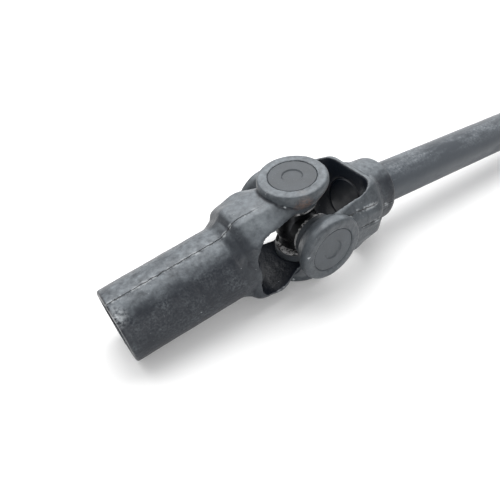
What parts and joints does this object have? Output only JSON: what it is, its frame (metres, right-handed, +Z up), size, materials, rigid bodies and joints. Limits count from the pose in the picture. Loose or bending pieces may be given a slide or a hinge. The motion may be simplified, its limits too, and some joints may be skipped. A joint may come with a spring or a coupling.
{
  "type": "front drive shaft",
  "caption": "Drive shaft with a splined tubular hub yoke, a needle-bearing universal joint and a solid shaft that ends in a splined stub.",
  "frame": {"origin": "centre of the hub's open end, on the hub's axis", "axes": "+X along the object towards the far end of the shaft, +Z up as it lies on a flat surface"},
  "size_m": [0.5869, 0.0488, 0.0517],
  "materials": {
    "forging_paint": "black paint over a rough forging, semi-gloss, worn at the edges",
    "shaft_paint": "black paint over a smooth drawn bar, semi-gloss, scuffed",
    "cup_paint": "thin dark paint over a drawn steel cup, satin",
    "cup_steel": "dark hardened steel with an oily film",
    "roller_steel": "ground bearing steel",
    "seal_rubber": "black nitrile rubber, matte",
    "washer_plastic": "natural nylon, matte"
  },
  "bodies": {
    "shaft_side": {"shaft_yoke": "forging_paint", "drive_shaft": "shaft_paint", "weld_bead": "shaft_paint", "cup_front": "cup_paint", "needles_front": "roller_steel", "seal_front": "seal_rubber", "washer_front": "washer_plastic", "cup_rear": "cup_paint", "needles_rear": "roller_steel", "seal_rear": "seal_rubber", "washer_rear": "washer_plastic"},
    "cross": {"cross": "cup_steel"},
    "hub_side": {"hub_yoke": "forging_paint", "hub_plug": "cup_steel", "cup_top": "cup_paint", "needles_top": "roller_steel", "seal_top": "seal_rubber", "washer_top": "washer_plastic", "cup_bottom": "cup_paint", "needles_bottom": "roller_steel", "seal_bottom": "seal_rubber", "washer_bottom": "washer_plastic"}
  },
  "joints": [
    {"name": "cross_swing", "type": "hinge", "parent": "shaft_side", "child": "cross", "pos_m": [0.08513, 0, 0.01071], "axis": [0, 1, 0], "range_deg": [-30.9, 49.1]},
    {"name": "hub_swing", "type": "hinge", "parent": "cross", "child": "hub_side", "pos_m": [0.08513, 0, 0.01071], "axis": [-0.1249, 0, 0.9922], "range_deg": [-40, 40]}
  ]
}
